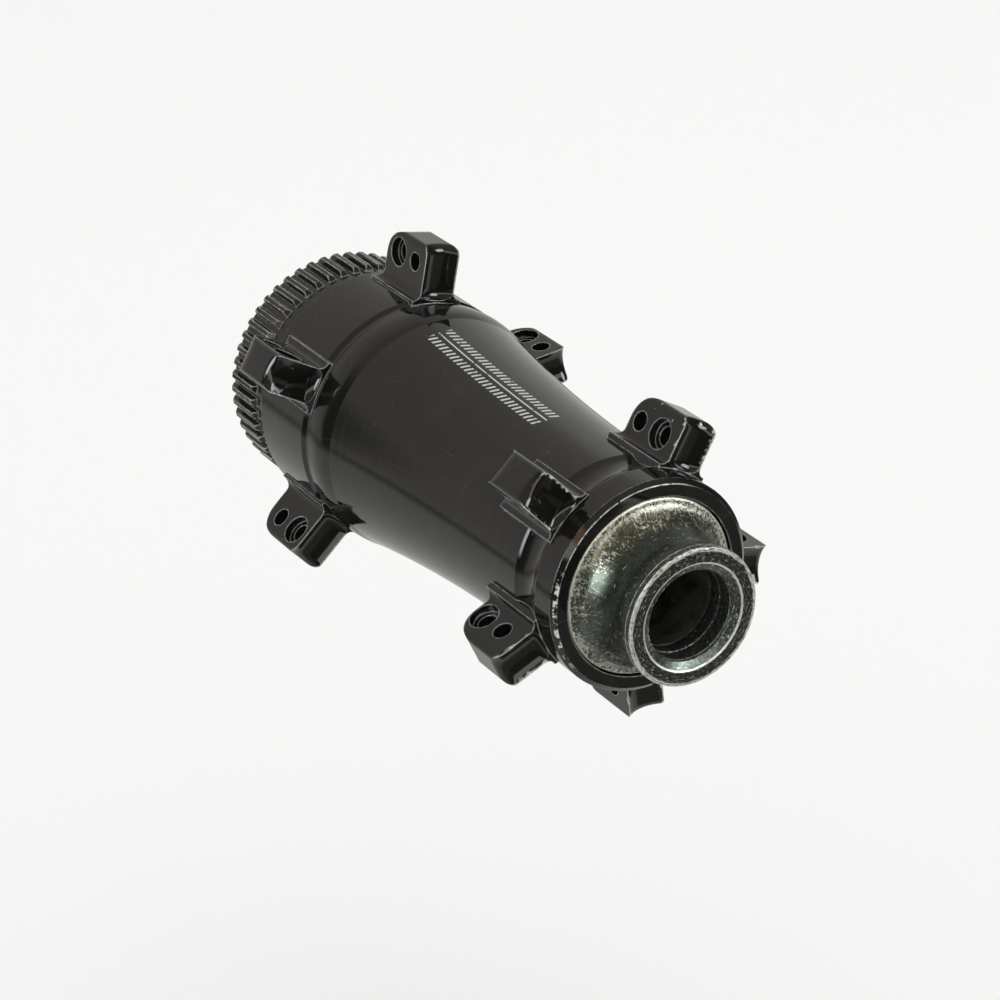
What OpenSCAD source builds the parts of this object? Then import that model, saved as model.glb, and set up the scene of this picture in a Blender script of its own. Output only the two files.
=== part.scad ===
// Front hub for straight-pull spokes and a splined disc brake rotor, on a 12 mm through axle.
// Y runs along the axle from the plain side to the rotor side, +Z is up, and the origin is the
// middle of the hub on its axis. Lengths are in millimetres.
// The outlines are drawn along Z and turned onto Y by on_axle(), so z in them is the place along Y.

/* [Width and axle] */
// Width over the two end faces that the fork clamps
hub_width = 100; // [95:1:110]
// Outside diameter of the axle tube, which is the bore of the bearings
axle_d = 15; // [15:0.5:15]
// Diameter of the through axle's bore, in the axle tube and in the caps
through_d = 12.1; // [12.05:0.05:12.3]
// Diameter of the stretch of axle between the bearings
axle_shoulder_d = 17.2; // [16.6:0.1:17.6]
// How far the axle's ends stay back from the end faces
axle_setback = 5.3; // [5:0.1:6]

/* [End caps] */
// Diameter of each cap's ring that touches the fork
nose_d = 19; // [18:0.1:19]
// Diameter of the neck behind that ring
neck_d = 18.1; // [17.4:0.1:18.1]
// Length of that ring
nose_ring = 1.1; // [1:0.1:2.5]
// Diameter of the wider lead-in at the mouth of each cap
lead_in_d = 12.4; // [12.3:0.1:12.8]
// Depth of the wider lead-in
lead_in = 3.3; // [2:0.1:3.6]
// Diameter of the mouth of the lead-in's countersink
mouth_d = 14.6; // [13.5:0.1:15]
// Depth of that countersink
mouth_depth = 0.6; // [0.4:0.1:1]
// Outside diameter of the dish that covers the bearing
dish_d = 24.36; // [24:0.04:24.4]
// Thickness of the dish at its rim
dish_rim = 0.9; // [0.6:0.1:1]
// Distance over which the neck flares out to the dish
flare = 6.3; // [5:0.1:6.5]

/* [Bearings] */
// Outside diameter of each bearing
bearing_d = 24; // [24:1:24]
// Width of each bearing
bearing_w = 5; // [5:1:5]
// Ball diameter
ball_d = 2.38; // [2.3:0.02:2.4]
// Balls in each bearing
ball_count = 15; // [12:1:17]
// Outer face of the plain-side bearing, in from the end face
plain_bearing_in = 11.5; // [11:0.1:12]
// Outer face of the rotor-side bearing, in from the end face
rotor_bearing_in = 14.5; // [14:0.1:15]

/* [Shell] */
// Diameter of the barrel at its narrow end
barrel_d = 28.6; // [28:0.1:30]
// Radius of the long curve that widens the barrel towards the rotor
barrel_curve = 294; // [250:1:400]
// Diameter of the collar around the plain-side bearing
collar_d = 29.4; // [28.8:0.1:31]
// Diameter of the valley between the lugs of the plain-side flange
valley_d = 27.8; // [27.4:0.1:28.4]
// Diameter of the drum that carries the rotor-side lugs
drum_d = 35.8; // [35:0.1:37]
// Diameter of the hollow inside the barrel
hollow_d = 24.6; // [23:0.1:25]
// Diameter of the ledge that each bearing rests on
ledge_d = 21.6; // [21.4:0.1:22]

/* [Spoke lugs] */
// Lugs on each flange, with two spokes in each
lug_count = 5; // [4:1:6]
// Width of a lug across its two side faces
lug_w = 5.3; // [4.8:0.1:6]
// Length of a lug along the axle
lug_l = 10.6; // [10.2:0.1:11]
// Height of the lug tops of the plain-side flange above the axis
plain_lug_r = 21.4; // [20.8:0.1:22]
// Height of the lug tops of the rotor-side flange above the axis
rotor_lug_r = 25.6; // [25:0.1:26.4]
// Angle of the first plain-side lug from the top
plain_lug_turn = 28.6; // [0:0.1:72]
// Angle of the first rotor-side lug from the top
rotor_lug_turn = 10.4; // [0:0.1:72]
// Radius of the round scoop in the end of each lug
scoop_r = 4; // [3.6:0.1:5]
// Height of the plain side's spoke holes above the axis
plain_hole_r = 17.7; // [17.4:0.1:18]
// Height of the rotor side's spoke holes above the axis
rotor_hole_r = 22.7; // [22:0.1:22.8]
// Distance along the axle between a lug's two spoke holes
hole_step = 4.6; // [4.4:0.1:4.8]
// Diameter of the spoke holes
spoke_hole_d = 2.6; // [2.4:0.1:2.8]
// Diameter of the seats that hold the spoke heads
head_seat_d = 4.1; // [3.6:0.1:4.2]
// Depth of those seats
head_seat = 1.2; // [1:0.1:1.6]

/* [Rotor spline] */
// Diameter over the tips of the spline's teeth
spline_d = 34.8; // [34.4:0.1:35]
// Height of the teeth
tooth_h = 0.8; // [0.6:0.1:1]
// Number of teeth
tooth_count = 52; // [52:1:52]
// Length of the teeth along the axle
tooth_l = 7.2; // [6:0.1:8]
// End of the spline, in from the end face
spline_end_in = 5.5; // [5:0.1:7]
// Shoulder that the rotor rests on, in from the end face
shoulder_in = 16; // [15:0.1:17]
// Diameter of the bore for the lockring's thread
thread_d = 29.2; // [28.8:0.1:30]

/* [Hidden] */
$fn = 96;
half = hub_width / 2;
over = 0.01;

// Running and sliding clearances on a radius
slide_gap = 0.03;
seal_gap = 0.1;
dish_gap = 0.22;

// Places along the axle
plain_bearing = -half + plain_bearing_in;
rotor_bearing = half - rotor_bearing_in;
collar_face = plain_bearing - 1.8;
collar_end = -half + 14;
valley_end = -half + 19.5;
barrel_start = -half + 21;
bead_start = 13.8;
bead_end = 20.2;
shoulder = half - shoulder_in;
spline_end = half - spline_end_in;
thread_floor = rotor_bearing + 1.8;
plain_lug_face = -half + 13.8;
rotor_lug_face = 20;

// Bearing sizes, measured from its own middle
pitch_r = (axle_d + bearing_d) / 4;
groove_r = ball_d / 2 + 0.05;
inner_race_r = 8.85;
outer_race_r = 10.65;

// Lug sizes, measured from the scooped end and from the lug's top
lug_corner = 3.6;
lug_edge = 0.8;
lug_foot = 1.2;
scoop_out = sqrt(pow(scoop_r, 2) - pow(lug_w / 2, 2)) - 0.02;
scoop_floor_round = 1.2;
scoop_rim_round = 1.3;
plain_near_hole = 3.9;
rotor_near_hole = 2.9;

// Turns a shape drawn along Z so that it lies along the axle
module on_axle() {
    rotate([-90, 0, 0]) children();
}

// Sends a shape drawn on the rotor side's bearing to the plain side, or leaves it there
module at_side(plain) {
    if (plain) mirror([0, 0, 1]) children();
    else children();
}

// Radius of the hollow between the collar and the barrel, at a fraction t of the way
function valley_r(t) = collar_d / 2 + (barrel_d - collar_d) / 2 * t
    - (collar_d + barrel_d - 2 * valley_d) * t * (1 - t);

function barrel_r(z) = barrel_d / 2 + barrel_curve - sqrt(pow(barrel_curve, 2) - pow(z - barrel_start, 2));

// Outside of the shell from the collar to the spline, as half of its section
module shell_outline() {
    edge = 0.5;
    face_edge = 0.65;
    bead_swell = 0.28;
    steps = 12;
    drum_r = drum_d / 2;
    bead_r = barrel_r(bead_start);
    groove_floor = spline_d / 2 - tooth_h;
    polygon(concat(
        [[0, collar_face], [collar_d / 2 - face_edge, collar_face], [collar_d / 2, collar_face + face_edge],
         [collar_d / 2, collar_end]],
        [for (i = [1 : steps - 1]) let (t = i / steps) [valley_r(t), collar_end + (valley_end - collar_end) * t]],
        [[barrel_d / 2, valley_end], [barrel_d / 2, barrel_start]],
        [for (i = [1 : steps]) let (z = barrel_start + (bead_start - barrel_start) * i / steps) [barrel_r(z), z]],
        [for (i = [1 : steps]) let (t = i / steps)
            [bead_r + (drum_r - bead_r) * t + bead_swell * sin(180 * t),
             bead_start + (bead_end - bead_start) * t * 0.8]],
        [[drum_r - 0.35, bead_end - 0.5], [drum_r - 0.35, bead_end + 0.2], [drum_r, bead_end + 1],
         [drum_r, shoulder - edge], [drum_r - edge, shoulder], [groove_floor, shoulder],
         [groove_floor, spline_end], [0, spline_end]]));
}

// Teeth that drive the rotor, bevelled at both ends
module spline_teeth() {
    tip_r = spline_d / 2;
    root_r = tip_r - tooth_h;
    pitch = 360 / tooth_count;
    bevel = 0.6;
    intersection() {
        translate([0, 0, spline_end - tooth_l]) linear_extrude(tooth_l)
            for (i = [0 : tooth_count - 1]) rotate(i * pitch)
                polygon([[root_r - 1, -0.62], [root_r, -0.62], [tip_r, -0.36], [tip_r, 0.36],
                         [root_r, 0.62], [root_r - 1, 0.62]]);
        rotate_extrude()
            polygon([[0, spline_end - tooth_l], [tip_r - bevel, spline_end - tooth_l],
                     [tip_r, spline_end - tooth_l + bevel], [tip_r, spline_end - bevel],
                     [tip_r - bevel, spline_end], [0, spline_end]]);
    }
}

// Everything bored out of the shell: two bearing seats, the hollow barrel and the lockring's thread
module shell_bores() {
    wall = 2;
    slope = (hollow_d - ledge_d) / 2;
    seat_in = bearing_w;
    // bearing seats
    translate([0, 0, plain_bearing - over]) cylinder(h = seat_in + over, d = bearing_d);
    translate([0, 0, rotor_bearing - seat_in]) cylinder(h = seat_in + over, d = bearing_d);
    // recesses for the dishes of the end caps
    translate([0, 0, collar_face - 1]) cylinder(h = plain_bearing - collar_face + 1, r = dish_d / 2 + dish_gap);
    translate([0, 0, rotor_bearing]) cylinder(h = thread_floor - rotor_bearing + over, r = dish_d / 2 + dish_gap);
    // lockring thread and its bevelled mouth
    translate([0, 0, thread_floor]) cylinder(h = spline_end - thread_floor + 1, d = thread_d);
    translate([0, 0, spline_end - 0.6]) cylinder(h = 0.6 + over, d1 = thread_d, d2 = thread_d + 1.2 + 2 * over);
    // hollow between the ledges
    rotate_extrude()
        polygon([[0, plain_bearing + seat_in - over], [ledge_d / 2, plain_bearing + seat_in - over],
                 [ledge_d / 2, plain_bearing + seat_in + wall],
                 [hollow_d / 2, plain_bearing + seat_in + wall + slope],
                 [hollow_d / 2, rotor_bearing - seat_in - wall - slope],
                 [ledge_d / 2, rotor_bearing - seat_in - wall],
                 [ledge_d / 2, rotor_bearing - seat_in + over], [0, rotor_bearing - seat_in + over]]);
}

// Side of a lug, seen along the tangent: a block with one rounded corner and a round foot below it
module lug_side(top_r, base_r, foot_r) {
    translate([foot_r, 0]) square([top_r - lug_corner - foot_r, lug_l]);
    translate([foot_r, 0]) square([top_r - foot_r, lug_l - lug_corner]);
    translate([top_r - lug_corner, lug_l - lug_corner]) circle(lug_corner);
    difference() {
        translate([foot_r, lug_l - over]) square([base_r + lug_foot - foot_r, lug_foot + over]);
        translate([base_r + lug_foot, lug_l + lug_foot]) circle(lug_foot);
    }
}

// Lug seen along the axle: a block with two rounded top edges, run out into the drum on two round feet
module lug_section(top_r, base_r, foot_r) {
    half_w = lug_w / 2;
    translate([foot_r, -half_w]) square([top_r - lug_edge - foot_r, lug_w]);
    translate([foot_r, lug_edge - half_w]) square([top_r - foot_r, lug_w - 2 * lug_edge]);
    for (side = [-1, 1]) {
        translate([top_r - lug_edge, side * (half_w - lug_edge)]) circle(lug_edge);
        difference() {
            translate([foot_r, side > 0 ? half_w - over : -half_w - lug_foot])
                square([base_r + lug_foot - foot_r, lug_foot + over]);
            translate([base_r + lug_foot, side * (half_w + lug_foot)]) circle(lug_foot);
        }
    }
}

// Cutter for the scoop: upright, bull-nosed at the bottom and flared at the top
module scoop_cutter(top_r, base_r) {
    flat = scoop_r - scoop_floor_round;
    translate([0, 0, -scoop_out]) rotate([0, 90, 0]) rotate_extrude() {
        translate([0, base_r]) square([flat, top_r - base_r + 1]);
        translate([0, base_r + scoop_floor_round]) square([scoop_r, top_r - base_r - scoop_floor_round + 1]);
        translate([flat, base_r + scoop_floor_round]) circle(scoop_floor_round);
        difference() {
            translate([scoop_r - over, top_r - scoop_rim_round])
                square([scoop_rim_round + over, scoop_rim_round + 1]);
            translate([scoop_r + scoop_rim_round, top_r - scoop_rim_round]) circle(scoop_rim_round);
        }
    }
}

// Spoke hole across a lug, with the seat for the spoke's head on one side
module spoke_hole(head_side) {
    rotate([90, 0, 0]) cylinder(h = lug_w + 2, d = spoke_hole_d, center = true);
    translate([0, head_side * (lug_w / 2 - head_seat), 0]) rotate([-90 * head_side, 0, 0])
        cylinder(h = head_seat + 3, d = head_seat_d);
}

// One lug, pointing along X, with its scooped end at z = 0
module lug(top_r, base_r, hole_r, near_hole, head_side) {
    foot_r = base_r - 2;
    difference() {
        intersection() {
            rotate([90, 0, 0]) linear_extrude(lug_w + 2 * lug_foot, center = true)
                lug_side(top_r, base_r, foot_r);
            linear_extrude(lug_l + lug_foot) lug_section(top_r, base_r, foot_r);
        }
        scoop_cutter(top_r, base_r);
        translate([hole_r, 0, near_hole]) spoke_hole(head_side);
        translate([hole_r, 0, near_hole + hole_step]) spoke_hole(-head_side);
    }
}

// Puts a lug at each place around a flange
module around(turn) {
    for (i = [0 : lug_count - 1]) rotate(turn - 90 + i * 360 / lug_count) children();
}

module hub_shell() {
    color("#101113") on_axle() difference() {
        union() {
            rotate_extrude() shell_outline();
            spline_teeth();
            translate([0, 0, plain_lug_face]) around(plain_lug_turn)
                lug(plain_lug_r, collar_d / 2, plain_hole_r, plain_near_hole, -1);
            translate([0, 0, rotor_lug_face]) around(rotor_lug_turn)
                lug(rotor_lug_r, drum_d / 2, rotor_hole_r, rotor_near_hole, 1);
        }
        shell_bores();
    }
}

module axle_tube() {
    end = half - axle_setback;
    bevel = 0.4;
    bore_r = through_d / 2;
    color("#8f9296") on_axle() rotate_extrude()
        polygon([[bore_r, -end], [axle_d / 2 - bevel, -end], [axle_d / 2, -end + bevel],
                 [axle_d / 2, plain_bearing + bearing_w], [axle_shoulder_d / 2, plain_bearing + bearing_w],
                 [axle_shoulder_d / 2, rotor_bearing - bearing_w], [axle_d / 2, rotor_bearing - bearing_w],
                 [axle_d / 2, end - bevel], [axle_d / 2 - bevel, end], [bore_r, end]]);
}

// End cap, drawn for the rotor side: nose, neck, flare and dish, with a socket for the axle
module end_cap(bearing) {
    boss_r = 9;
    edge = 0.35;
    dish_back = bearing + 0.7;
    dish_front = dish_back + dish_rim;
    neck_start = dish_front + flare;
    ring_start = half - nose_ring;
    stop = half - axle_setback + 0.1;
    groove = o_ring_place(bearing);
    rim_step = 0.3;
    flare_steps = 24;
    color("#4a4f48") difference() {
        rotate_extrude()
            polygon(concat(
                [[axle_d / 2 + slide_gap, bearing], [boss_r, bearing], [boss_r, dish_back],
                 [dish_d / 2, dish_back], [dish_d / 2, dish_front - 0.2], [dish_d / 2 - rim_step, dish_front]],
                [for (i = [1 : flare_steps]) let (a = 90 * i / flare_steps)
                    [dish_d / 2 - rim_step - (dish_d / 2 - rim_step - neck_d / 2) * sin(a),
                     neck_start - flare * cos(a)]],
                [[neck_d / 2, ring_start - 0.3], [nose_d / 2, ring_start], [nose_d / 2, half - edge],
                 [nose_d / 2 - edge, half], [mouth_d / 2, half], [lead_in_d / 2, half - mouth_depth],
                 [lead_in_d / 2, half - lead_in], [through_d / 2, half - lead_in], [through_d / 2, stop],
                 [axle_d / 2 + slide_gap, stop]]));
        rotate_extrude()
            translate([axle_d / 2, groove - 0.55]) square([0.9, 1.1]);
    }
}

function o_ring_place(bearing) = bearing + 3.2;

module end_cap_plain_side() {
    on_axle() at_side(true) end_cap(-plain_bearing);
}

module end_cap_rotor_side() {
    on_axle() at_side(false) end_cap(rotor_bearing);
}

// O-ring in the cap's socket, which grips the axle
module o_ring(bearing) {
    section_r = 0.43;
    color("#1c1c1c") translate([0, 0, o_ring_place(bearing)]) rotate_extrude()
        translate([axle_d / 2 + 0.02 + section_r, 0]) circle(section_r, $fn = 24);
}

module o_ring_plain_side() {
    on_axle() at_side(true) o_ring(-plain_bearing);
}

module o_ring_rotor_side() {
    on_axle() at_side(false) o_ring(rotor_bearing);
}

// Flat rubber washer on the cap's boss that keeps dirt from the bearing
module dust_seal(bearing) {
    color("#202020") translate([0, 0, bearing + 0.15]) difference() {
        cylinder(h = 0.55, r = 11.6);
        translate([0, 0, -1]) cylinder(h = 3, r = 9);
    }
}

module dust_seal_plain_side() {
    on_axle() at_side(true) dust_seal(-plain_bearing);
}

module dust_seal_rotor_side() {
    on_axle() at_side(false) dust_seal(rotor_bearing);
}

// Pieces of one bearing, drawn around its own middle with +Z outboard
module outer_race() {
    bevel = 0.3;
    color("#b9bcc0") rotate_extrude() difference() {
        polygon([[outer_race_r, -bearing_w / 2], [bearing_d / 2 - bevel, -bearing_w / 2],
                 [bearing_d / 2, -bearing_w / 2 + bevel], [bearing_d / 2, bearing_w / 2 - bevel],
                 [bearing_d / 2 - bevel, bearing_w / 2], [outer_race_r, bearing_w / 2]]);
        translate([pitch_r, 0]) circle(groove_r);
    }
}

module inner_race() {
    bevel = 0.3;
    color("#b9bcc0") rotate_extrude() difference() {
        polygon([[axle_d / 2 + bevel, -bearing_w / 2], [inner_race_r, -bearing_w / 2],
                 [inner_race_r, bearing_w / 2], [axle_d / 2 + bevel, bearing_w / 2],
                 [axle_d / 2, bearing_w / 2 - bevel], [axle_d / 2, -bearing_w / 2 + bevel]]);
        translate([pitch_r, 0]) circle(groove_r);
    }
}

module balls() {
    color("#d8dadd") for (i = [0 : ball_count - 1]) rotate(i * 360 / ball_count)
        translate([pitch_r, 0, 0]) sphere(d = ball_d, $fn = 48);
}

module cage() {
    color("#b08d4a") difference() {
        translate([0, 0, -1.5]) cylinder(h = 2.4, r = pitch_r + 0.4);
        translate([0, 0, -2]) cylinder(h = 4, r = pitch_r - 0.4);
        for (i = [0 : ball_count - 1]) rotate(i * 360 / ball_count)
            translate([pitch_r, 0, 0]) sphere(d = ball_d + 0.08, $fn = 48);
    }
}

module bearing_seal(outboard) {
    thick = 0.45;
    color("#7a2320") translate([0, 0, outboard ? bearing_w / 2 - 0.1 - thick : -bearing_w / 2 + 0.1])
        difference() {
            cylinder(h = thick, r = outer_race_r);
            translate([0, 0, -1]) cylinder(h = 3, r = inner_race_r + seal_gap);
        }
}

// Puts a bearing piece in its seat
module in_seat(plain) {
    on_axle() at_side(plain)
        translate([0, 0, (plain ? -plain_bearing : rotor_bearing) - bearing_w / 2]) children();
}

module outer_race_plain_side() {
    in_seat(true) outer_race();
}

module inner_race_plain_side() {
    in_seat(true) inner_race();
}

module balls_plain_side() {
    in_seat(true) balls();
}

module cage_plain_side() {
    in_seat(true) cage();
}

module outboard_seal_plain_side() {
    in_seat(true) bearing_seal(true);
}

module inboard_seal_plain_side() {
    in_seat(true) bearing_seal(false);
}

module outer_race_rotor_side() {
    in_seat(false) outer_race();
}

module inner_race_rotor_side() {
    in_seat(false) inner_race();
}

module balls_rotor_side() {
    in_seat(false) balls();
}

module cage_rotor_side() {
    in_seat(false) cage();
}

module outboard_seal_rotor_side() {
    in_seat(false) bearing_seal(true);
}

module inboard_seal_rotor_side() {
    in_seat(false) bearing_seal(false);
}

hub_shell();
axle_tube();
end_cap_plain_side();
end_cap_rotor_side();
o_ring_plain_side();
o_ring_rotor_side();
dust_seal_plain_side();
dust_seal_rotor_side();
outer_race_plain_side();
inner_race_plain_side();
balls_plain_side();
cage_plain_side();
outboard_seal_plain_side();
inboard_seal_plain_side();
outer_race_rotor_side();
inner_race_rotor_side();
balls_rotor_side();
cage_rotor_side();
outboard_seal_rotor_side();
inboard_seal_rotor_side();
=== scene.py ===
import math

import bmesh
import bpy
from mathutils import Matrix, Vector


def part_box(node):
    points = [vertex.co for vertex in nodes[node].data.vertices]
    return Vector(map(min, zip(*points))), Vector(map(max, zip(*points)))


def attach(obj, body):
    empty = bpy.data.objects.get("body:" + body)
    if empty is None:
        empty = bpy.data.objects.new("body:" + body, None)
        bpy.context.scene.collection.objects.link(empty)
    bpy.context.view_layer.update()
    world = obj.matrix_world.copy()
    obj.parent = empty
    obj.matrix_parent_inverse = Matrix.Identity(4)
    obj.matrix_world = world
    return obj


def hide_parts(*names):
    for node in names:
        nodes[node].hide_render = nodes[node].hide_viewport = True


# Looks of a straight-pull front hub. Y runs along the axle from the plain side, which the camera
# sees, to the rotor side. Sizes are in millimetres up to the point where a mesh or light is made.
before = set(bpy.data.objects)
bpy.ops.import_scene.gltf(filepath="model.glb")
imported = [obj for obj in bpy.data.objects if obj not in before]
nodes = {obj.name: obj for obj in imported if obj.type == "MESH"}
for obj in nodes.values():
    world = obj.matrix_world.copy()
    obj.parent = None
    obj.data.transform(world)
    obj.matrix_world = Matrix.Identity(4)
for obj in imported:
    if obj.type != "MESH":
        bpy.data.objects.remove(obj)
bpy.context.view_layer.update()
scene = bpy.context.scene
MM = 0.001

# Sizes of the end caps. Depths are in from the end face, and the bearing's is its outer face.
_, plain_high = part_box("end_cap_plain_side")
_, rotor_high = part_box("end_cap_rotor_side")
HALF = rotor_high[1] / MM
DISH_R = plain_high[0] / MM
PLAIN_BEARING = 11.5
ROTOR_BEARING = 14.5
NOSE_R = 9.5
NECK_R = 9.05
NECK_STEP = 0.07
NOSE_RING = 1.1
MOUTH_R = 7.3
MOUTH_DEPTH = 0.6
LEAD_IN_R = 6.2
LEAD_IN = 3.3
BORE_R = 6.05
SOCKET_R = 7.53
SOCKET_END = 5.2
DISH_RIM = 0.9
RIM_STEP = 0.3
BOSS_R = 9.0
BOSS = 0.7
GROOVE_R = 8.4
GROOVE_HALF = 0.55
GROOVE_PLACE = 3.2
FLARE = 6.3
FLARE_CUTS = 40
CORNER_CUTS = (0.0, 0.33, 0.67, 1.0)

# Places that the materials pick out, in y, in the radius r, or in from the end face for the caps.
# A pair is the two ends of a band, or where a place starts and where it is full.
PLAIN_LUGS = (-38.0, -24.0)
PLAIN_LUG_FOOT = (15.2, 15.9)
PLAIN_LUG_FACE = (-34.8, -35.6)
PLAIN_LUG_TOP = (20.4, 20.9)
ROTOR_LUGS = (19.0, 32.5)
ROTOR_LUG_FOOT = (19.2, 20.0)
COLLAR_FRONT = (-39.0, -39.4)
COLLAR_FACE_R = (13.75, 13.95)
CHAMFER_FRONT = (-39.4, -39.6)
CHAMFER_R = (14.02, 14.42)
COLLAR_LINE_R = (13.98, 14.12)
SPLINE_FRONT = (37.0, 37.4)
SPLINE_TOPS = (16.95, 17.3)
DISH_FOOT = (9.25, 9.75)
DISH_FRONT = (3.7, 4.6)
DISH_EDGE = (12.20, 12.34)
DISH_OUTER = (10.4, 11.6)
FLARE_SHADE = (11.0, 9.9)
NOSE_EDGE = (9.16, 9.28)
MOUTH_EDGE = (7.22, 7.48)
MOUTH_INSIDE = (7.2, 7.1)
AXLE_INSIDE = (7.0, 6.5)
THREAD_CREST = (14.30, 14.12)


# ---------------------------------------------------------------- camera, lights and floor

def add_camera():
    data = bpy.data.cameras.new("camera")
    data.lens = 112.7
    data.sensor_width = 36
    data.clip_start = 0.01
    camera = bpy.data.objects.new("camera", data)
    camera.location = (-0.19677, -0.33425, 0.18013)
    camera.rotation_euler = Vector((0.4611, 0.7766, -0.4293)).to_track_quat("-Z", "Y").to_euler()
    scene.collection.objects.link(camera)
    scene.camera = camera


def area_light(name, place, target, size, power):
    """A soft light that lights the floor and the matt parts, and isn't mirrored in the gloss."""
    data = bpy.data.lights.new(name, "AREA")
    data.shape = "RECTANGLE"
    data.size, data.size_y = size
    data.energy = power
    light = bpy.data.objects.new(name, data)
    light.location = place
    light.rotation_euler = (Vector(target) - Vector(place)).to_track_quat("-Z", "Y").to_euler()
    light.visible_glossy = False
    scene.collection.objects.link(light)


# What the gloss mirrors, from the back of the list forward. Each zone has soft steps, each a
# direction with the cosines at which it starts and is full, and then the zone's radiance.
STUDIO_BASE = (0.055, 0.058, 0.050)
STUDIO_ZONES = (
    ("ceiling", (((0, 0, 1), 0.45, 0.75),), (0.42, 0.40, 0.32)),
    ("far_wall", (((0, 1, 0), 0.48, 0.56), ((1, 0, 0), -0.82, -0.70)), (0.52, 0.50, 0.485)),
    ("far_wall_right", (((0, 1, 0), 0.60, 0.66), ((1, 0, 0), 0.30, 0.50)), (0.70, 0.69, 0.64)),
    ("front_floor", (((0, 0, -1), 0.22, 0.30),), (0.20, 0.195, 0.185)),
    ("floor", (((0, 0, -1), 0.26, 0.36), ((0, 1, 0), -0.50, -0.42)), (0.62, 0.62, 0.60)),
    ("front_band", (((0, -1, 0), 0.30, 0.45), ((0, 0, 1), 0.20, 0.28), ((0, 0, -1), -0.54, -0.46)),
     (2.2, 2.2, 2.0)),
    ("left_window", (((-1, 0, 0.2), 0.60, 0.70), ((0, -1, 0), -0.34, -0.22), ((0, 1, 0), -0.34, -0.20),
                     ((0, 0, 1), -0.10, 0.04), ((0, 0, -1), -0.50, -0.36)), (9.4, 10.4, 10.6)),
    ("right_window", (((0.62, -0.67, 0.41), 0.962, 0.972),), (8.6, 9.4, 9.2)),
    ("lamp_glow", (((-0.60, -0.59, 0.54), 0.986, 0.996),), (1.7, 0.90, 0.55)),
)


def add_studio(backdrop):
    """White for the camera and for matt surfaces, and the zones for what the gloss mirrors."""
    world = bpy.data.worlds.new("studio")
    world.use_nodes = True
    tree = world.node_tree
    plain = tree.nodes["Background"]
    plain.inputs["Color"].default_value = (*backdrop, 1)
    direction = tree.nodes.new("ShaderNodeTexCoord").outputs["Generated"]
    mirrored = tree.nodes.new("ShaderNodeBackground")
    mirrored.inputs["Color"].default_value = (*STUDIO_BASE, 1)
    for name, steps, radiance in STUDIO_ZONES:
        share = None
        for toward, start, full in steps:
            dot = tree.nodes.new("ShaderNodeVectorMath")
            dot.operation = "DOT_PRODUCT"
            dot.inputs[1].default_value = Vector(toward).normalized()
            tree.links.new(direction, dot.inputs[0])
            step = tree.nodes.new("ShaderNodeMapRange")
            step.interpolation_type = "SMOOTHSTEP"
            step.inputs["From Min"].default_value = start
            step.inputs["From Max"].default_value = full
            tree.links.new(dot.outputs["Value"], step.inputs["Value"])
            if share is not None:
                tree.links.new(share, step.inputs["To Max"])
            share = step.outputs["Result"]
        layer = tree.nodes.new("ShaderNodeMixRGB")
        layer.label = name
        tree.links.new(share, layer.inputs["Fac"])
        if mirrored.inputs["Color"].links:
            tree.links.new(mirrored.inputs["Color"].links[0].from_socket, layer.inputs["Color1"])
        else:
            layer.inputs["Color1"].default_value = (*STUDIO_BASE, 1)
        layer.inputs["Color2"].default_value = (*radiance, 1)
        tree.links.new(layer.outputs["Color"], mirrored.inputs["Color"])
    rays = tree.nodes.new("ShaderNodeLightPath")
    choose = tree.nodes.new("ShaderNodeMixShader")
    tree.links.new(rays.outputs["Is Glossy Ray"], choose.inputs[0])
    tree.links.new(plain.outputs[0], choose.inputs[1])
    tree.links.new(mirrored.outputs[0], choose.inputs[2])
    tree.links.new(choose.outputs[0], tree.nodes["World Output"].inputs["Surface"])
    scene.world = world


def add_floor(height, size):
    """Plain pale floor. The gloss mirrors the studio and not the floor, so that it stays even."""
    bpy.ops.mesh.primitive_plane_add(size=size, location=(0, 0, height))
    floor = bpy.context.object
    floor.name = "floor"
    floor.visible_glossy = False
    material = bpy.data.materials.new("floor")
    material.use_nodes = True
    shader = material.node_tree.nodes["Principled BSDF"]
    shader.inputs["Base Color"].default_value = (0.875, 0.877, 0.868, 1)
    shader.inputs["Roughness"].default_value = 0.8
    shader.inputs["Specular IOR Level"].default_value = 0.1
    floor.data.materials.append(material)


# ---------------------------------------------------------------- material graphs

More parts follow.
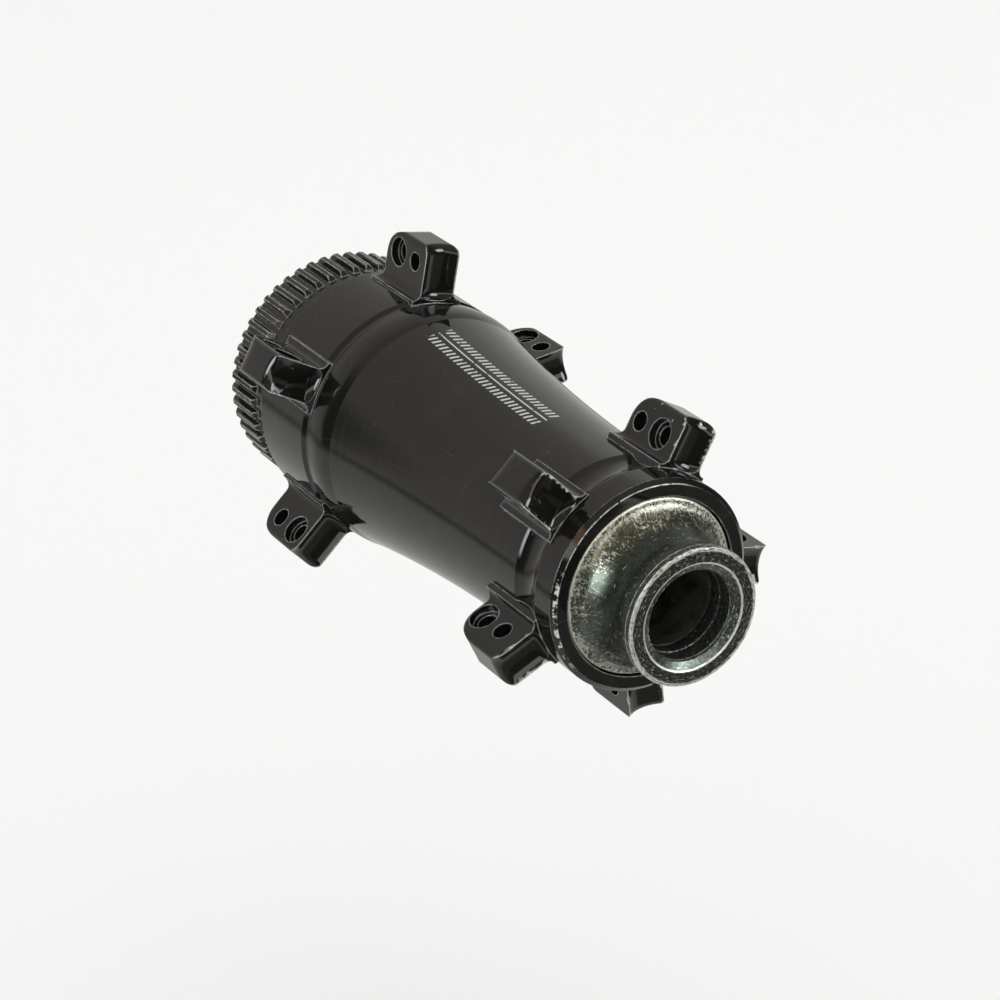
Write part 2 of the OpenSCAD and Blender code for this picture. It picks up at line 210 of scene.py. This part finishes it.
class Graph:
    """One material's nodes. Every length in a graph is in millimetres."""

    def __init__(self, name):
        self.material = bpy.data.materials.new(name)
        self.material.use_nodes = True
        self.tree = self.material.node_tree
        self.shader = self.tree.nodes["Principled BSDF"]
        self.place = self.vector("SCALE", self.add("ShaderNodeTexCoord").outputs["Object"], scale=1000)
        self.x, self.y, self.z = self.add("ShaderNodeSeparateXYZ", self.place).outputs
        across = self.math("MULTIPLY", self.x, self.x)
        across = self.math("ADD", across, self.math("MULTIPLY", self.z, self.z))
        self.r = self.math("SQRT", across)
        self.turn = self.math("ARCTAN2", self.x, self.z)
        self.from_end = self.math("SUBTRACT", HALF, self.math("ABSOLUTE", self.y))

    def add(self, kind, *inputs, **settings):
        node = self.tree.nodes.new(kind)
        for name, value in settings.items():
            setattr(node, name, value)
        for socket, value in zip(node.inputs, inputs):
            self.put(value, socket)
        return node

    def put(self, value, socket):
        if isinstance(value, bpy.types.NodeSocket):
            self.tree.links.new(value, socket)
        elif value is not None:
            socket.default_value = value

    def set(self, **inputs):
        """Sets the shader's sockets: roughness=..., base_color=... and so on."""
        for name, value in inputs.items():
            wanted = name.replace("_", " ").lower()
            socket = next(s for s in self.shader.inputs if s.name.lower() == wanted)
            if isinstance(value, tuple) and len(value) == 3 and socket.type == "RGBA":
                value = (*value, 1)
            self.put(value, socket)

    def math(self, operation, a, b=None, c=None, clamp=False):
        return self.add("ShaderNodeMath", a, b, c, operation=operation, use_clamp=clamp).outputs[0]

    def vector(self, operation, a, b=None, scale=None):
        node = self.add("ShaderNodeVectorMath", a, b, operation=operation)
        if scale is not None:
            node.inputs["Scale"].default_value = scale
        return node.outputs["Value" if operation in ("DOT_PRODUCT", "LENGTH") else "Vector"]

    def join(self, x, y, z):
        return self.add("ShaderNodeCombineXYZ", x, y, z).outputs[0]

    def ramp(self, value, low, high, at_low=0.0, at_high=1.0):
        """From at_low to at_high while value goes from low to high, smoothly and no further."""
        node = self.add("ShaderNodeMapRange", interpolation_type="SMOOTHSTEP")
        if low > high:
            low, high, at_low, at_high = high, low, at_high, at_low
        for socket, item in zip(node.inputs, (value, low, high, at_low, at_high)):
            self.put(item, socket)
        return node.outputs["Result"]

    def band(self, value, low, high, soft):
        """One between low and high, and nought outside."""
        return self.math("MULTIPLY", self.ramp(value, low - soft, low + soft),
                         self.ramp(value, high + soft, high - soft))

    def mix(self, factor, a, b):
        node = self.add("ShaderNodeMix", data_type="RGBA")
        self.put(factor, node.inputs["Factor"])
        for name, value in (("A", a), ("B", b)):
            socket = next(s for s in node.inputs if s.name == name and s.type == "RGBA")
            self.put((*value, 1) if isinstance(value, tuple) else value, socket)
        return next(s for s in node.outputs if s.type == "RGBA")

    def blend(self, factor, a, b):
        """A number between a and b."""
        return self.math("MULTIPLY_ADD", factor, self.math("SUBTRACT", b, a), a)

    def noise(self, per_mm, detail=2.0, rough=0.5, at=None):
        node = self.add("ShaderNodeTexNoise")
        self.put(at if at is not None else self.place, node.inputs["Vector"])
        node.inputs["Scale"].default_value = per_mm
        node.inputs["Detail"].default_value = detail
        node.inputs["Roughness"].default_value = rough
        return node.outputs["Factor"] if "Factor" in node.outputs else node.outputs["Fac"]

    def unrolled(self, radius):
        """Place on the surface around the axle, laid flat: round it, along it."""
        return self.join(self.math("MULTIPLY", self.turn, radius), self.y, 0.0)

    def dashes(self, plane, cell, length, width, share, seed, toward=0.0, spread=180.0):
        """Straight tapered scratches, at most one in each cell of a flat plane."""
        moved = self.vector("ADD", plane, (seed * 13.7, seed * 5.1, 0.0))
        cells = self.add("ShaderNodeTexVoronoi", voronoi_dimensions="2D")
        self.put(moved, cells.inputs["Vector"])
        cells.inputs["Scale"].default_value = 1 / cell
        pick, stretch, turn = self.add("ShaderNodeSeparateXYZ", cells.outputs["Color"]).outputs
        angle = self.math("MULTIPLY_ADD", turn, math.radians(spread), math.radians(toward))
        turned = self.add("ShaderNodeVectorRotate", self.vector("SUBTRACT", moved, cells.outputs["Position"]),
                          rotation_type="Z_AXIS")
        self.put(angle, turned.inputs["Angle"])
        u, v, _ = self.add("ShaderNodeSeparateXYZ", turned.outputs[0]).outputs
        reach = self.math("MULTIPLY", self.math("MULTIPLY_ADD", stretch, 0.7, 0.3), length / 2)
        taper = self.math("SUBTRACT", 1.0, self.math("DIVIDE", self.math("ABSOLUTE", u), reach), clamp=True)
        body = self.math("SUBTRACT", self.math("MULTIPLY", self.math("SQRT", taper), width / 2),
                         self.math("ABSOLUTE", v))
        return self.math("MULTIPLY", self.ramp(body, 0.0, width * 0.2), self.math("LESS_THAN", pick, share))

    def specks(self, per_mm, size, share):
        """Small round specks of dust or pits."""
        node = self.add("ShaderNodeTexVoronoi")
        self.put(self.place, node.inputs["Vector"])
        node.inputs["Scale"].default_value = per_mm
        chosen = self.add("ShaderNodeSeparateXYZ", node.outputs["Color"]).outputs[0]
        dot = self.ramp(node.outputs["Distance"], size * per_mm, size * per_mm * 0.4)
        return self.math("MULTIPLY", dot, self.math("LESS_THAN", chosen, share))

    def rounded(self, radius, samples=6):
        return self.add("ShaderNodeBevel", radius * MM, samples=samples).outputs[0]

    def edge_turn(self, radius):
        """Grows from nought at radius from an edge to 0.3 on a square edge."""
        flat = self.add("ShaderNodeNewGeometry").outputs["Normal"]
        return self.math("SUBTRACT", 1.0, self.vector("DOT_PRODUCT", self.rounded(radius, 5), flat))

    def bump(self, height, depth, normal=None):
        """Raises the surface by depth times height, in millimetres."""
        node = self.add("ShaderNodeBump")
        node.inputs["Distance"].default_value = depth * MM
        self.put(height, node.inputs["Height"])
        if normal is not None:
            self.put(normal, node.inputs["Normal"])
        return node.outputs[0]


def highest(graph, *values):
    total = values[0]
    for value in values[1:]:
        total = graph.math("MAXIMUM", total, value)
    return total


# ---------------------------------------------------------------- materials

PRINT_FROM, PRINT_TO = -17.0, 11.0
PRINT_TURN = -5.0
ROW_OFFSET = 1.4
ROW_HALF = 0.62
TICK_PITCH = 0.95


def printed_marks(g):
    """Plain rule along the barrel between two rows of slanted ticks."""
    side = g.math("MULTIPLY", g.math("SUBTRACT", g.turn, math.radians(PRINT_TURN)), g.r)
    rule = g.band(side, -0.11, 0.11, 0.03)
    off = g.math("SUBTRACT", g.math("ABSOLUTE", side), ROW_OFFSET)
    rows = g.band(off, -ROW_HALF, ROW_HALF, 0.03)
    slant = g.math("MULTIPLY_ADD", side, 0.35, g.y)
    step = g.math("FRACT", g.math("DIVIDE", g.math("ADD", slant, 100.0), TICK_PITCH))
    ticks = g.band(step, 0.25, 0.68, 0.04)
    marks = highest(g, rule, g.math("MULTIPLY", rows, ticks))
    rubbed = g.ramp(g.noise(0.8, 4.0, 0.7), 0.33, 0.42)
    return g.math("MULTIPLY", g.math("MULTIPLY", marks, rubbed), g.band(g.y, PRINT_FROM, PRINT_TO, 0.03))


def shell_material():
    """Deep gloss black over aluminium, with dust, fine scratches, chipped edges and a faint painted highlight
    on every edge.
    """
    g = Graph("gloss_black")
    flat = g.unrolled(15.0)
    smudge = g.noise(0.09, 3.0)
    dust = highest(g, g.specks(0.55, 0.10, 0.30), g.math("MULTIPLY", g.specks(1.7, 0.05, 0.14), 0.6))
    hair = highest(g, g.dashes(flat, 9.0, 9.0, 0.05, 0.45, 1), g.dashes(flat, 5.0, 4.0, 0.05, 0.50, 2),
                   g.dashes(flat, 13.0, 14.0, 0.05, 0.40, 3, 30.0, 60.0))
    fine = g.noise(2.4, 4.0, 0.65)
    ragged = g.noise(0.75, 4.0, 0.65)
    turn = g.edge_turn(0.45)
    # painted highlight: every edge of the shell is made a little lighter in the colour
    edge_highlight_paint = g.ramp(turn, 0.10, 0.22)
    plain_lugs = g.math("MULTIPLY", g.band(g.y, *PLAIN_LUGS, 0.3), g.ramp(g.r, *PLAIN_LUG_FOOT))
    near_face = g.math("MULTIPLY", plain_lugs, g.ramp(g.y, *PLAIN_LUG_FACE))
    lug_tops = g.math("MULTIPLY", plain_lugs, g.ramp(g.r, *PLAIN_LUG_TOP))
    rotor_lugs = g.math("MULTIPLY", g.band(g.y, *ROTOR_LUGS, 0.3), g.ramp(g.r, *ROTOR_LUG_FOOT))
    collar = g.math("MULTIPLY", g.ramp(g.y, *COLLAR_FRONT), g.ramp(g.r, *COLLAR_FACE_R))
    collar_left = g.math("MULTIPLY", g.ramp(g.x, -5.0, -10.0), g.band(g.z, -7.5, 4.5, 2.0))
    chamfer = g.math("MULTIPLY", g.ramp(g.y, *CHAMFER_FRONT), g.band(g.r, *CHAMFER_R, 0.08))
    collar_left = g.math("MULTIPLY", collar_left, chamfer)
    tips = g.math("MULTIPLY", g.ramp(g.r, *SPLINE_TOPS), g.ramp(g.y, *SPLINE_FRONT))
    reach = highest(g, g.math("MULTIPLY", near_face, 0.10), g.math("MULTIPLY", lug_tops, 0.07),
                    g.math("MULTIPLY", rotor_lugs, 0.05), g.math("MULTIPLY", collar, 0.07),
                    g.math("MULTIPLY", tips, 0.15))
    ragged = g.math("MULTIPLY_ADD", fine, 0.35, g.math("MULTIPLY", ragged, 0.65))
    worn_corner = g.math("MULTIPLY", near_face, g.ramp(g.edge_turn(0.65), 0.006, 0.02))
    worn_off = highest(g, g.math("MULTIPLY", collar_left, g.ramp(ragged, 0.505, 0.53)),
                       g.math("MULTIPLY", worn_corner, g.ramp(ragged, 0.53, 0.55)))
    ragged = g.math("MULTIPLY_ADD", turn, 1.2, g.math("ADD", ragged, reach))
    chipped = g.math("MULTIPLY", g.ramp(turn, 0.004, 0.015), g.ramp(ragged, 0.865, 0.895))
    # partly wear, partly painted highlight: a broken bare-metal line on the collar's inner chamfer edge, kept
    # to the top left where the edge's highlight falls
    worn_line_and_painted_highlight = g.math("MULTIPLY", g.band(g.r, *COLLAR_LINE_R, 0.03), g.ramp(g.y, -40.2, -40.26))
    worn_line_and_painted_highlight = g.math("MULTIPLY", worn_line_and_painted_highlight, g.band(g.turn, -1.15, 0.35, 0.25))
    worn_line_and_painted_highlight = g.math("MULTIPLY", worn_line_and_painted_highlight, g.ramp(fine, 0.38, 0.50))
    nick = g.math("MULTIPLY", plain_lugs, g.specks(0.30, 0.42, 0.45))
    nick = g.math("MULTIPLY", nick, g.ramp(fine, 0.50, 0.56))
    bare = highest(g, chipped, worn_off, nick, g.math("MULTIPLY", worn_line_and_painted_highlight, 0.8))
    marks = printed_marks(g)
    black = g.mix(smudge, (0.0052, 0.0047, 0.0044), (0.0100, 0.0095, 0.0088))
    film = g.ramp(g.noise(0.22, 4.0, 0.6), 0.5, 0.8, 0.0, 0.018)
    # the light grey mix carries dust, scratches, film and the painted edge highlight
    soft = highest(g, g.math("MULTIPLY", dust, 0.55), g.math("MULTIPLY", hair, 0.13),
                   g.math("MULTIPLY", edge_highlight_paint, 0.02), film)
    painted = g.mix(soft, black, (0.34, 0.33, 0.30))
    painted = g.mix(marks, painted, (0.50, 0.50, 0.46))
    metal = g.mix(fine, (0.45, 0.44, 0.41), (0.92, 0.91, 0.87))
    gloss = g.ramp(smudge, 0.3, 0.7, 0.018, 0.05)
    gloss = highest(g, gloss, g.math("MULTIPLY", marks, 0.3), g.math("MULTIPLY", dust, 0.5))
    skin = g.bump(g.noise(0.35, 2.0), 0.012, g.rounded(0.13))
    skin = g.bump(g.math("SUBTRACT", g.math("MULTIPLY", dust, 0.5), bare), 0.030, skin)
    g.set(base_color=g.mix(bare, painted, metal), metallic=g.math("MULTIPLY", bare, 0.25),
          roughness=g.blend(bare, gloss, 0.42), normal=skin)
    return g.material


def cap_material():
    """Dark anodised aluminium, mottled and scratched on the dish, bare at the rim and the nose, with painted
    light on the upper right and painted shade on the flare near the neck.
    """
    g = Graph("worn_cap_metal")
    disc = g.join(g.x, g.z, 0.0)
    around = g.join(g.math("MULTIPLY", g.turn, 9.0), g.from_end, 0.0)
    fine = g.noise(2.6, 4.0, 0.7)
    finer = g.noise(5.0, 3.0, 0.6)
    coarse = g.noise(0.55, 3.0, 0.6)
    streak = g.noise(1.0, 4.0, 0.75, at=g.join(g.math("MULTIPLY", g.turn, 11.0), g.math("MULTIPLY", g.r, 8.0),
                                               g.math("MULTIPLY", g.from_end, 8.0)))
    # places: the dish and its rim, the upper half (painted lighter as light, and more worn), the nose's side,
    # face and mouth, and the inside
    dish = g.math("MULTIPLY", g.ramp(g.r, *DISH_FOOT), g.ramp(g.from_end, *DISH_FRONT))
    upper_painted_light_and_wear = g.ramp(g.math("MULTIPLY_ADD", g.x, 0.5, g.z), -2.5, 6.0)
    uneven_r = g.math("MULTIPLY_ADD", fine, 0.8, g.r)
    rim = g.math("MULTIPLY", g.ramp(uneven_r, *DISH_EDGE), g.ramp(g.from_end, 3.0, 4.0))
    nose = g.ramp(g.from_end, NOSE_RING + 0.2, NOSE_RING)
    wavy_r = g.math("MULTIPLY_ADD", g.noise(0.5, 3.0, 0.6), 0.6, g.r)
    front_ring = g.math("MULTIPLY", g.ramp(wavy_r, *NOSE_EDGE),
                        g.ramp(g.math("MULTIPLY_ADD", finer, 0.3, g.from_end), 0.40, 0.34))
    back_ring = g.math("MULTIPLY", nose, g.ramp(g.from_end, NOSE_RING - 0.20, NOSE_RING - 0.12))
    mouth_line = g.math("MULTIPLY", nose, g.band(g.r, *MOUTH_EDGE, 0.04))
    face = g.ramp(g.from_end, 1.6, 1.0)
    inside = g.ramp(g.r, *MOUTH_INSIDE)
    ticks = highest(g, g.dashes(disc, 1.0, 0.9, 0.15, 0.50, 1), g.dashes(disc, 0.8, 0.6, 0.15, 0.42, 2),
                    g.dashes(disc, 1.5, 1.5, 0.10, 0.42, 3), g.dashes(disc, 0.5, 0.3, 0.15, 0.30, 4))
    side_ticks = highest(g, g.dashes(around, 1.3, 1.0, 0.10, 0.30, 7, -12.0, 24.0),
                         g.dashes(around, 1.0, 0.6, 0.09, 0.20, 8, 50.0, 60.0))
    off_dish = g.math("MULTIPLY", g.ramp(dish, 0.5, 0.0, 0.0, 0.6), g.ramp(g.from_end, 0.02, 0.10))
    busy = g.ramp(g.math("MULTIPLY_ADD", upper_painted_light_and_wear, 0.10, g.noise(0.30, 2.0)), 0.42, 0.64)
    tick_share = g.math("MULTIPLY_ADD", busy, 0.7, 0.2)
    outer = g.ramp(g.r, *DISH_OUTER)
    wear = g.math("ADD", g.math("MULTIPLY", busy, 0.07), g.math("MULTIPLY", outer, 0.07))
    mottle = g.math("MULTIPLY_ADD", finer, 0.45, g.math("MULTIPLY", fine, 0.55))
    patches = g.ramp(g.math("ADD", mottle, g.math("MULTIPLY", dish, wear)), 0.55, 0.70)
    specks = g.ramp(g.math("ADD", fine, g.math("MULTIPLY", g.edge_turn(0.2), 0.5)), 0.68, 0.72)
    bare = highest(g, g.math("MULTIPLY", dish, g.math("MULTIPLY", patches, 0.75)), specks,
                   g.math("MULTIPLY", rim, g.ramp(finer, 0.34, 0.46)),
                   g.math("MULTIPLY", highest(g, front_ring, back_ring), g.ramp(streak, 0.43, 0.50)),
                   g.math("MULTIPLY", mouth_line, g.ramp(streak, 0.34, 0.44)),
                   g.math("MULTIPLY", face, g.ramp(streak, 0.58, 0.64)),
                   g.math("MULTIPLY", ticks, g.math("MULTIPLY", dish, tick_share)),
                   g.math("MULTIPLY", side_ticks, off_dish))
    bare = g.math("MINIMUM", bare, 1.0)
    # painted light: the coat is lighter and warmer toward the upper right of the cap
    coat = g.mix(upper_painted_light_and_wear, (0.112, 0.137, 0.120), (0.215, 0.205, 0.135))
    coat = g.mix(g.ramp(coarse, 0.36, 0.66), coat, (0.085, 0.088, 0.062))
    coat = g.mix(g.ramp(g.r, *FLARE_SHADE, 0.0, 0.65), coat, (0.030, 0.032, 0.022))
    coat = g.mix(g.math("SUBTRACT", 1.0, dish), coat,
                 g.mix(g.ramp(fine, 0.42, 0.60), (0.034, 0.040, 0.033), (0.072, 0.082, 0.068)))
    coat = g.mix(inside, coat, g.mix(g.ramp(fine, 0.42, 0.60), (0.055, 0.064, 0.056), (0.125, 0.142, 0.128)))
    metal = g.mix(fine, (0.52, 0.51, 0.46), (0.92, 0.91, 0.87))
    metal = g.mix(g.math("MULTIPLY", rim, 0.8), metal, (0.95, 0.92, 0.70))
    rough = g.blend(bare, g.ramp(coarse, 0.3, 0.7, 0.20, 0.30), 0.42)
    turned = g.noise(1.0, 1.0, at=g.join(0.0, g.math("MULTIPLY", g.r, 9.0),
                                         g.math("MULTIPLY", g.from_end, 9.0)))
    skin = g.bump(turned, 0.004, g.rounded(0.08))
    skin = g.bump(g.math("SUBTRACT", g.math("MULTIPLY", finer, 0.4), bare), 0.014, skin)
    radial = g.add("ShaderNodeTangent", direction_type="RADIAL", axis="Y").outputs[0]
    g.set(base_color=g.mix(bare, coat, metal), metallic=g.math("MULTIPLY_ADD", bare, -0.25, 0.75),
          roughness=rough, anisotropic=0.4, tangent=radial, normal=skin)
    return g.material


def axle_material():
    """Turned aluminium tube, darker and less metallic inside the bore."""
    g = Graph("turned_axle")
    blotch_noise = g.noise(0.35, 4.0)
    lathe = g.noise(1.0, 1.0, at=g.join(0.0, g.math("MULTIPLY", g.y, 6.0), g.math("MULTIPLY", g.r, 6.0)))
    scuff = g.dashes(g.join(g.math("MULTIPLY", g.turn, 6.0), g.y, 0.0), 4.0, 4.0, 0.10, 0.6, 2, 70.0, 40.0)
    inside = g.ramp(g.r, *AXLE_INSIDE)
    clean = g.mix(lathe, (0.40, 0.40, 0.39), (0.62, 0.62, 0.60))
    inside_colour = g.mix(g.ramp(blotch_noise, 0.35, 0.65), (0.045, 0.046, 0.040), (0.105, 0.102, 0.090))
    colour = g.mix(inside, clean, inside_colour)
    colour = g.mix(g.math("MULTIPLY", scuff, 0.5), colour, (0.6, 0.6, 0.57))
    skin = g.bump(lathe, 0.008, g.rounded(0.1))
    g.set(base_color=colour, metallic=g.blend(inside, 1.0, 0.4),
          roughness=g.ramp(blotch_noise, 0.3, 0.7, 0.24, 0.42), normal=skin)
    return g.material


def steel_material(name, dark, light, rough):
    """Ground bearing steel with a grinding pattern round the axis and a film of oil."""
    g = Graph(name)
    ground = g.noise(1.0, 2.0, at=g.join(g.math("MULTIPLY", g.turn, 2.0), g.math("MULTIPLY", g.y, 14.0),
                                         g.math("MULTIPLY", g.r, 14.0)))
    oil = g.noise(0.5, 3.0)
    colour = g.mix(ground, dark, light)
    colour = g.mix(g.ramp(oil, 0.55, 0.75, 0.0, 0.35), colour, (0.25, 0.20, 0.13))
    g.set(base_color=colour, metallic=1.0, roughness=g.ramp(oil, 0.3, 0.7, rough, rough + 0.10),
          normal=g.bump(ground, 0.002, g.rounded(0.12)))
    return g.material


def brass_material():
    g = Graph("cage_brass")
    tarnish = g.noise(0.8, 4.0)
    fine = g.noise(5.0, 3.0)
    colour = g.mix(g.ramp(tarnish, 0.35, 0.7), (0.55, 0.38, 0.16), (0.30, 0.19, 0.08))
    g.set(base_color=colour, metallic=1.0, roughness=g.ramp(tarnish, 0.3, 0.7, 0.25, 0.42),
          normal=g.bump(fine, 0.006, g.rounded(0.08)))
    return g.material


def rubber_material(name, dark, light, ridges):
    """Moulded rubber with a fine grain, dust in it, and moulded rings where a seal has them."""
    g = Graph(name)
    grain = g.noise(7.0, 2.0)
    dusty = g.noise(0.7, 4.0)
    rings = g.math("SINE", g.math("MULTIPLY", g.r, ridges))
    colour = g.mix(g.ramp(dusty, 0.45, 0.75, 0.0, 0.7), dark, light)
    colour = g.mix(g.math("MULTIPLY", g.specks(2.0, 0.07, 0.2), 0.5), colour, (0.25, 0.23, 0.20))
    skin = g.bump(rings, 0.03, g.rounded(0.08))
    g.set(base_color=colour, roughness=g.ramp(dusty, 0.3, 0.7, 0.45, 0.62), specular_ior_level=0.4,
          normal=g.bump(grain, 0.008, skin))
    return g.material


def thread_material():
    """Cut thread in the aluminium, with the black film rubbed off its crests."""
    g = Graph("cut_thread")
    crest = g.ramp(g.r, *THREAD_CREST)
    grime = g.noise(1.2, 4.0)
    bare = g.math("MULTIPLY", crest, g.ramp(grime, 0.30, 0.55))
    colour = g.mix(bare, g.mix(grime, (0.012, 0.012, 0.011), (0.035, 0.033, 0.030)), (0.62, 0.61, 0.57))
    g.set(base_color=colour, metallic=bare, roughness=g.blend(bare, 0.22, 0.35),
          normal=g.bump(g.noise(6.0, 2.0), 0.006))
    return g.material


# ---------------------------------------------------------------- pieces made here

def eased(points, rounding):
    """Rounds each corner of a closed half-section with a small arc, one point for each cut."""
    out = []
    count = len(points)
    for i, corner in enumerate(points):
        here = Vector(corner)
        back = Vector(points[i - 1]) - here
        on = Vector(points[(i + 1) % count]) - here
        cos = back.normalized().dot(on.normalized())
        if cos < -0.92:
            out.append(tuple(here))
            continue
        cut = min(rounding, back.length * 0.45, on.length * 0.45)
        start = here + back.normalized() * cut
        end = here + on.normalized() * cut
        for t in CORNER_CUTS:
            out.append(tuple((1 - t) ** 2 * start + 2 * t * (1 - t) * here + t ** 2 * end))
    return out


def lathed(name, section, side, segments=224):
    """Solid of revolution about Y from a closed half-section of (radius, distance from the end face)."""
    mesh = bpy.data.meshes.new(name)
    shape = bmesh.new()
    rings = []
    for i in range(segments):
        angle = 2 * math.pi * i / segments
        rings.append([shape.verts.new((radius * math.sin(angle) * MM, side * (HALF - from_end) * MM,
                                       radius * math.cos(angle) * MM)) for radius, from_end in section])
    for i, ring in enumerate(rings):
        following = rings[(i + 1) % segments]
        for j in range(len(section)):
            k = (j + 1) % len(section)
            shape.faces.new((ring[j], ring[k], following[k], following[j]))
    bmesh.ops.recalc_face_normals(shape, faces=shape.faces)
    shape.to_mesh(mesh)
    shape.free()
    mesh.shade_smooth()
    mesh.set_sharp_from_angle(angle=math.radians(28))
    piece = bpy.data.objects.new(name, mesh)
    scene.collection.objects.link(piece)
    return piece


def cap_section(bearing):
    """Half-section of an end cap whose bearing's face is that far in from the end face.

    Both stretches start on a corner that lies on the flare or in the socket, and its arc is dropped.
    """
    back = bearing - BOSS
    front = back - DISH_RIM
    neck_start = front - FLARE
    groove = bearing - GROOVE_PLACE
    dish_top = DISH_R - RIM_STEP
    outline = [(SOCKET_R, bearing), (BOSS_R, bearing), (BOSS_R, back), (DISH_R, back),
               (DISH_R, front + 0.2), (dish_top, front)]
    outline = eased(outline, 0.08)[len(CORNER_CUTS):]
    for i in range(1, FLARE_CUTS):
        angle = math.radians(90 * i / FLARE_CUTS)
        radius = dish_top - (dish_top - NECK_R) * math.sin(angle)
        outline.append((radius, neck_start + FLARE * math.cos(angle)))
    neck_top = NECK_R + NECK_STEP
    nose = [(NECK_R, neck_start + 0.15), (neck_top, neck_start + 0.02), (neck_top, NOSE_RING + 0.42),
            (NECK_R - 0.02, NOSE_RING + 0.3), (NOSE_R, NOSE_RING), (NOSE_R, 0.24), (NOSE_R - 0.24, 0.0),
            (MOUTH_R + 0.18, 0.0), (MOUTH_R, 0.12),
            (LEAD_IN_R + 0.05, MOUTH_DEPTH), (LEAD_IN_R, MOUTH_DEPTH + 0.1), (LEAD_IN_R, LEAD_IN),
            (BORE_R, LEAD_IN), (BORE_R, SOCKET_END), (SOCKET_R, SOCKET_END),
            (SOCKET_R, groove - GROOVE_HALF), (GROOVE_R, groove - GROOVE_HALF),
            (GROOVE_R, groove + GROOVE_HALF), (SOCKET_R, groove + GROOVE_HALF), (SOCKET_R, bearing)]
    return outline + eased(nose, 0.09)[len(CORNER_CUTS):]


def make_caps(finish):
    """Turned end caps, in place of the CAD ones, which have the same faces, bores and grooves."""
    for side, bearing, end in ((-1, PLAIN_BEARING, "plain"), (1, ROTOR_BEARING, "rotor")):
        cap = lathed("turned_cap_" + end, cap_section(bearing), side)
        cap.data.materials.append(finish)
        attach(cap, "cap_" + end)
        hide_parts("end_cap_%s_side" % end)


def make_thread(finish):
    """Helical ridge of the lockring's thread, running out at both ends."""
    root, crest, flank, pitch = 14.72, 14.08, 14.58, 1.0
    start, turns, segments = 38.3, 5, 96
    run_out = 0.4 * segments
    low_tip = root - 0.16
    mesh = bpy.data.meshes.new("lockring_thread")
    shape = bmesh.new()
    total = turns * segments
    rings = []
    for i in range(total + 1):
        angle = 2 * math.pi * i / segments
        along = start + pitch * i / segments
        fade = min(1.0, i / run_out, (total - i) / run_out)
        tip = low_tip - (low_tip - crest) * fade
        section = ((root, -0.47), (flank, -0.45), (tip, -0.07), (tip, 0.07), (flank, 0.45), (root, 0.47))
        rings.append([shape.verts.new((radius * math.sin(angle) * MM, (along + offset) * MM,
                                       radius * math.cos(angle) * MM)) for radius, offset in section])
    size = len(rings[0])
    for ring, following in zip(rings, rings[1:]):
        for j in range(size):
            k = (j + 1) % size
            shape.faces.new((ring[j], ring[k], following[k], following[j]))
    shape.faces.new(rings[0])
    shape.faces.new(reversed(rings[-1]))
    bmesh.ops.recalc_face_normals(shape, faces=shape.faces)
    shape.to_mesh(mesh)
    shape.free()
    mesh.shade_smooth()
    mesh.set_sharp_from_angle(angle=math.radians(30))
    mesh.materials.append(finish)
    piece = bpy.data.objects.new("lockring_thread", mesh)
    scene.collection.objects.link(piece)
    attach(piece, "hub")


def finish_node(name, material):
    """Gives a CAD node its finish."""
    slots = nodes[name].data.materials
    slots.clear()
    slots.append(material)


add_camera()
add_studio((0.93, 0.935, 0.93))
add_floor(height=-0.11, size=6)
area_light("softbox", (0.25, 0.1, 1.1), (0, 0, 0), (1.2, 1.2), 3.0)
scene.view_settings.view_transform = "Standard"

finish_node("hub_shell", shell_material())
make_caps(cap_material())
make_thread(thread_material())
finish_node("axle_tube", axle_material())
race_steel = steel_material("race_steel", (0.42, 0.43, 0.44), (0.66, 0.67, 0.68), 0.16)
ball_steel = steel_material("ball_steel", (0.62, 0.63, 0.65), (0.80, 0.81, 0.83), 0.05)
cage_brass = brass_material()
seal_rubber = rubber_material("seal_rubber", (0.095, 0.012, 0.010), (0.16, 0.05, 0.04), 9.0)
ring_rubber = rubber_material("ring_rubber", (0.012, 0.012, 0.012), (0.045, 0.042, 0.038), 3.0)
for end in ("plain_side", "rotor_side"):
    finish_node("outer_race_" + end, race_steel)
    finish_node("inner_race_" + end, race_steel)
    finish_node("balls_" + end, ball_steel)
    finish_node("cage_" + end, cage_brass)
    finish_node("outboard_seal_" + end, seal_rubber)
    finish_node("inboard_seal_" + end, seal_rubber)
    finish_node("dust_seal_" + end, ring_rubber)
    finish_node("o_ring_" + end, ring_rubber)
